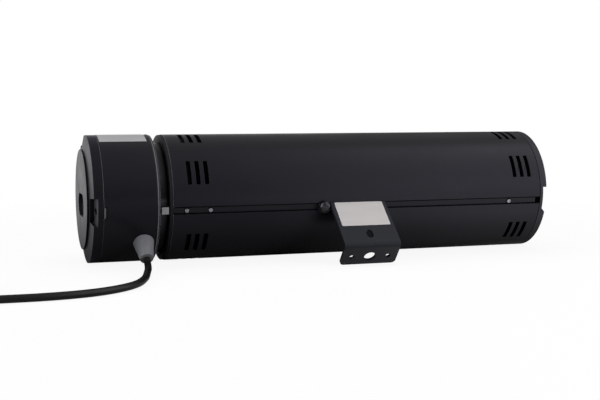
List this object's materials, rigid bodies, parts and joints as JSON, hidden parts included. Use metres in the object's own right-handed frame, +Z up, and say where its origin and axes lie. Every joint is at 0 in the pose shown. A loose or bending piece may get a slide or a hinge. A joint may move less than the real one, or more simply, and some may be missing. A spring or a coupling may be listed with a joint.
{
  "type": "roller shutter motor",
  "caption": "Geared tubular motor: a slotted drum with a hanger bracket turns about a fixed round head, with a coned cable relief and a coiled mains lead",
  "frame": {"origin": "centre of the fixed head's outer end face, on the spin axis", "axes": "+X along the spin axis from the fixed head to the drum's far end, +Z up as it lies on a table, -Y the front where the hanger bracket stands out"},
  "size_m": [0.6857, 0.2705, 0.1286],
  "materials": {
    "casing_black": "satin black powder coat",
    "cover_black": "satin black cast cover, worn grey on its boss face",
    "bracket_black": "black painted folded sheet",
    "groove_black": "black",
    "steel": "bright zinc",
    "screw_dark": "blackened",
    "label_silver": "matt silver film, blank",
    "label_white": "off-white film, blank",
    "relief_grey": "grey moulded rubber",
    "lead_black": "black sheath",
    "plug_black": "moulded",
    "motor_aluminium": "as cast",
    "core_steel": "laminated",
    "copper": "enamelled winding",
    "gear_steel": "machined",
    "board_green": "laminate",
    "inner_plastic": "moulded",
    "brake_lining": "friction lining"
  },
  "bodies": {
    "head": {"head_end_cover": "cover_black", "head_shell": "casing_black", "head_cover_screws": "screw_dark", "rating_label": "label_silver", "cable_relief": "relief_grey", "mains_cord": "lead_black", "cord_tail": "lead_black", "cord_coil": "lead_black", "cord_connector": "plug_black", "control_board": "board_green", "board_parts": "inner_plastic", "terminal_block": "inner_plastic", "run_capacitor": "inner_plastic", "capacitor_saddle": "steel", "torque_tube": "steel", "tube_screws": "steel", "motor_lead": "lead_black", "bearing_inner_races": "steel", "motor_can": "motor_aluminium", "can_end_bells": "motor_aluminium", "rotor_bearings": "steel", "stator_core": "core_steel", "stator_windings": "copper", "brake_coil": "copper", "fixed_ring_gear": "gear_steel", "star_plate": "gear_steel", "gearbox_screws": "steel", "far_axle": "steel"},
    "drum": {"neck_collar": "casing_black", "drive_key": "steel", "drum_left_ring": "casing_black", "bearing_outer_races": "steel", "drum_upper_shell": "casing_black", "drum_lower_shell": "casing_black", "front_rail": "groove_black", "rear_rail": "groove_black", "groove_screws": "screw_dark", "groove_end_plugs": "groove_black", "drum_hoops": "core_steel", "drum_end_cover": "cover_black", "far_ring": "casing_black", "drum_cover_screws": "screw_dark", "hanger_bracket": "bracket_black", "bracket_bolt": "bracket_black", "bracket_label": "label_white", "output_ring_gear": "gear_steel", "drive_disc": "gear_steel", "drive_screws": "steel"},
    "rotor": {"rotor_shaft": "gear_steel", "rotor_core": "core_steel", "cooling_fan": "inner_plastic", "brake_disc": "brake_lining"},
    "carrier": {"planet_carrier": "gear_steel"},
    "first_planet_1": {"first_planet_1": "gear_steel"},
    "first_planet_2": {"first_planet_2": "gear_steel"},
    "first_planet_3": {"first_planet_3": "gear_steel"},
    "star_gear_1": {"star_gear_1": "gear_steel"},
    "star_gear_2": {"star_gear_2": "gear_steel"},
    "star_gear_3": {"star_gear_3": "gear_steel"}
  },
  "joints": [
    {"name": "drum_spin", "type": "hinge", "parent": "head", "child": "drum", "pos_m": [0, 0, 0], "axis": [1, 0, 0], "continuous": true},
    {"name": "rotor_spin", "type": "hinge", "parent": "head", "child": "rotor", "pos_m": [0.2, 0, 0], "axis": [1, 0, 0], "continuous": true},
    {"name": "carrier_spin", "type": "hinge", "parent": "head", "child": "carrier", "pos_m": [0.325, 0, 0], "axis": [1, 0, 0], "continuous": true},
    {"name": "first_planet_1_spin", "type": "hinge", "parent": "carrier", "child": "first_planet_1", "pos_m": [0.315, 0.0225, 0], "axis": [1, 0, 0], "continuous": true},
    {"name": "first_planet_2_spin", "type": "hinge", "parent": "carrier", "child": "first_planet_2", "pos_m": [0.315, -0.01125, 0.01949], "axis": [1, 0, 0], "continuous": true},
    {"name": "first_planet_3_spin", "type": "hinge", "parent": "carrier", "child": "first_planet_3", "pos_m": [0.315, -0.01125, -0.01949], "axis": [1, 0, 0], "continuous": true},
    {"name": "star_gear_1_spin", "type": "hinge", "parent": "head", "child": "star_gear_1", "pos_m": [0.3444, 0.0225, 0], "axis": [1, 0, 0], "continuous": true},
    {"name": "star_gear_2_spin", "type": "hinge", "parent": "head", "child": "star_gear_2", "pos_m": [0.3444, -0.01125, 0.01949], "axis": [1, 0, 0], "continuous": true},
    {"name": "star_gear_3_spin", "type": "hinge", "parent": "head", "child": "star_gear_3", "pos_m": [0.3444, -0.01125, -0.01949], "axis": [1, 0, 0], "continuous": true}
  ],
  "couplings": [
    {"joint": "rotor_spin", "follows": "drum_spin", "ratio": -30},
    {"joint": "carrier_spin", "follows": "drum_spin", "ratio": -5},
    {"joint": "first_planet_1_spin", "follows": "drum_spin", "ratio": 12.5},
    {"joint": "first_planet_2_spin", "follows": "drum_spin", "ratio": 12.5},
    {"joint": "first_planet_3_spin", "follows": "drum_spin", "ratio": 12.5},
    {"joint": "star_gear_1_spin", "follows": "drum_spin", "ratio": 2.5},
    {"joint": "star_gear_2_spin", "follows": "drum_spin", "ratio": 2.5},
    {"joint": "star_gear_3_spin", "follows": "drum_spin", "ratio": 2.5}
  ]
}
